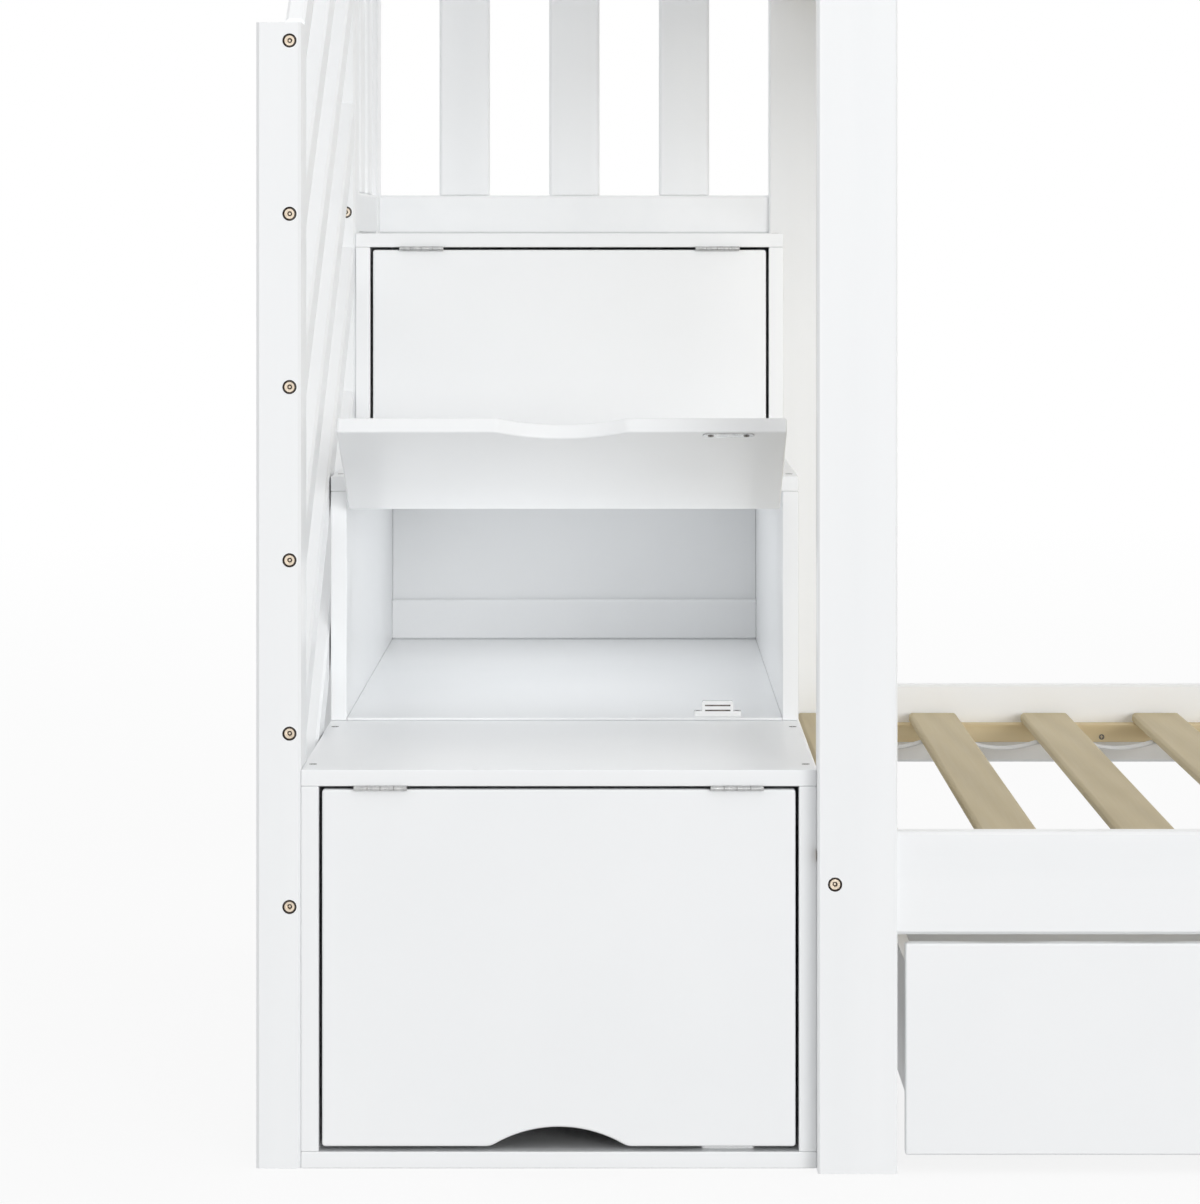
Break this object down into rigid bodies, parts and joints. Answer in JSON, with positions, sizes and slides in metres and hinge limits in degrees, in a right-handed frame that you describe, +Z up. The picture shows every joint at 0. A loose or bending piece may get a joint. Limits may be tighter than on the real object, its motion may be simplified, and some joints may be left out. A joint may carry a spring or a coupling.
{
  "type": "bunk bed with slide",
  "caption": "White full-over-full bunk bed with a storage staircase of flip-up riser doors at one end, a slide at the other and rolling drawers below.",
  "frame": {"origin": "on the floor, below the middle of the whole object's box", "axes": "+X along the bed from the staircase to the slide, +Y from the front to the back, +Z up"},
  "size_m": [4.2852, 1.46, 1.65],
  "materials": {
    "white_paint": "satin white paint over pine and board",
    "pine": "planed tan pine, clear matt",
    "webbing": "white woven polyester webbing",
    "bolt_brass": "bronzed connector bolt",
    "zinc_steel": "bright zinc plate",
    "hook_steel": "white powder coat",
    "catch_plastic": "white moulded plastic",
    "wheel_plastic": "black nylon",
    "slide_gloss": "smooth gloss white paint"
  },
  "bodies": {
    "bunk_bed": {"centre_beams": "pine", "connector_bolts": "bolt_brass", "front_left_post": "white_paint", "front_right_post": "white_paint", "guard_gate_posts": "white_paint", "guard_slats": "white_paint", "guard_top_rails": "white_paint", "handrail_slats": "white_paint", "headboard_rail": "white_paint", "headboard_slats": "white_paint", "hinge_fixed_leaves": "zinc_steel", "lower_end_rails": "white_paint", "lower_front_rail": "white_paint", "lower_rear_rail": "white_paint", "lower_slats": "pine", "magnetic_catches": "catch_plastic", "rear_left_post": "white_paint", "rear_right_post": "white_paint", "slat_ledgers": "pine", "slat_webbing": "webbing", "slide_chute": "slide_gloss", "slide_cross_bars": "white_paint", "slide_hooks": "hook_steel", "slide_sides": "white_paint", "stair_guard_rails": "white_paint", "stair_guard_slats": "white_paint", "stair_middle_post": "white_paint", "stair_newel_post": "white_paint", "stair_rear_post": "white_paint", "step_1_base": "white_paint", "step_1_sides": "white_paint", "step_1_tread": "white_paint", "step_2_sides": "white_paint", "step_2_tread": "white_paint", "step_3_sides": "white_paint", "step_3_tread": "white_paint", "step_back_panels": "white_paint", "step_back_rails": "white_paint", "step_liners": "white_paint", "upper_end_rails": "white_paint", "upper_front_rail": "white_paint", "upper_rear_rail": "white_paint", "upper_slats": "pine"},
    "step_1_door": {"step_1_door": "white_paint", "step_1_door_hardware": "zinc_steel"},
    "step_2_door": {"step_2_door": "white_paint", "step_2_door_hardware": "zinc_steel"},
    "step_3_door": {"step_3_door": "white_paint", "step_3_door_hardware": "zinc_steel"},
    "left_drawer": {"left_drawer_front": "white_paint", "left_drawer_box": "white_paint", "left_drawer_casters": "zinc_steel"},
    "left_drawer_front_wheels": {"left_drawer_front_wheels": "wheel_plastic"},
    "left_drawer_rear_wheels": {"left_drawer_rear_wheels": "wheel_plastic"},
    "right_drawer": {"right_drawer_front": "white_paint", "right_drawer_box": "white_paint", "right_drawer_casters": "zinc_steel"},
    "right_drawer_front_wheels": {"right_drawer_front_wheels": "wheel_plastic"},
    "right_drawer_rear_wheels": {"right_drawer_rear_wheels": "wheel_plastic"}
  },
  "joints": [
    {"name": "step_1_door_hinge", "type": "hinge", "parent": "bunk_bed", "child": "step_1_door", "pos_m": [-1.85262, -0.7081, 0.3645], "axis": [-1, 0, 0], "range_deg": [0, 170]},
    {"name": "step_2_door_hinge", "type": "hinge", "parent": "bunk_bed", "child": "step_2_door", "pos_m": [-1.85262, -0.2681, 0.6225], "axis": [-1, 0, 0], "range_deg": [-113, 57]},
    {"name": "step_3_door_hinge", "type": "hinge", "parent": "bunk_bed", "child": "step_3_door", "pos_m": [-1.85262, 0.1719, 0.8795], "axis": [-1, 0, 0], "range_deg": [0, 170]},
    {"name": "left_drawer_roll", "type": "slide", "parent": "bunk_bed", "child": "left_drawer", "axis": [0, -1, 0], "range_m": [0, 0.48]},
    {"name": "left_front_wheels_spin", "type": "hinge", "parent": "left_drawer", "child": "left_drawer_front_wheels", "pos_m": [-1.07312, -0.6105, 0.025], "axis": [1, 0, 0], "range_deg": [-10, 1115]},
    {"name": "left_rear_wheels_spin", "type": "hinge", "parent": "left_drawer", "child": "left_drawer_rear_wheels", "pos_m": [-1.07312, -0.1925, 0.025], "axis": [1, 0, 0], "range_deg": [-10, 1115]},
    {"name": "right_drawer_roll", "type": "slide", "parent": "bunk_bed", "child": "right_drawer", "axis": [0, -1, 0], "range_m": [0, 0.48]},
    {"name": "right_front_wheels_spin", "type": "hinge", "parent": "right_drawer", "child": "right_drawer_front_wheels", "pos_m": [-0.16812, -0.6105, 0.025], "axis": [1, 0, 0], "range_deg": [-10, 1115]},
    {"name": "right_rear_wheels_spin", "type": "hinge", "parent": "right_drawer", "child": "right_drawer_rear_wheels", "pos_m": [-0.16812, -0.1925, 0.025], "axis": [1, 0, 0], "range_deg": [-10, 1115]}
  ],
  "couplings": [
    {"joint": "left_front_wheels_spin", "follows": "left_drawer_roll", "rad_per_m": 40},
    {"joint": "left_rear_wheels_spin", "follows": "left_drawer_roll", "rad_per_m": 40},
    {"joint": "right_front_wheels_spin", "follows": "right_drawer_roll", "rad_per_m": 40},
    {"joint": "right_rear_wheels_spin", "follows": "right_drawer_roll", "rad_per_m": 40}
  ]
}
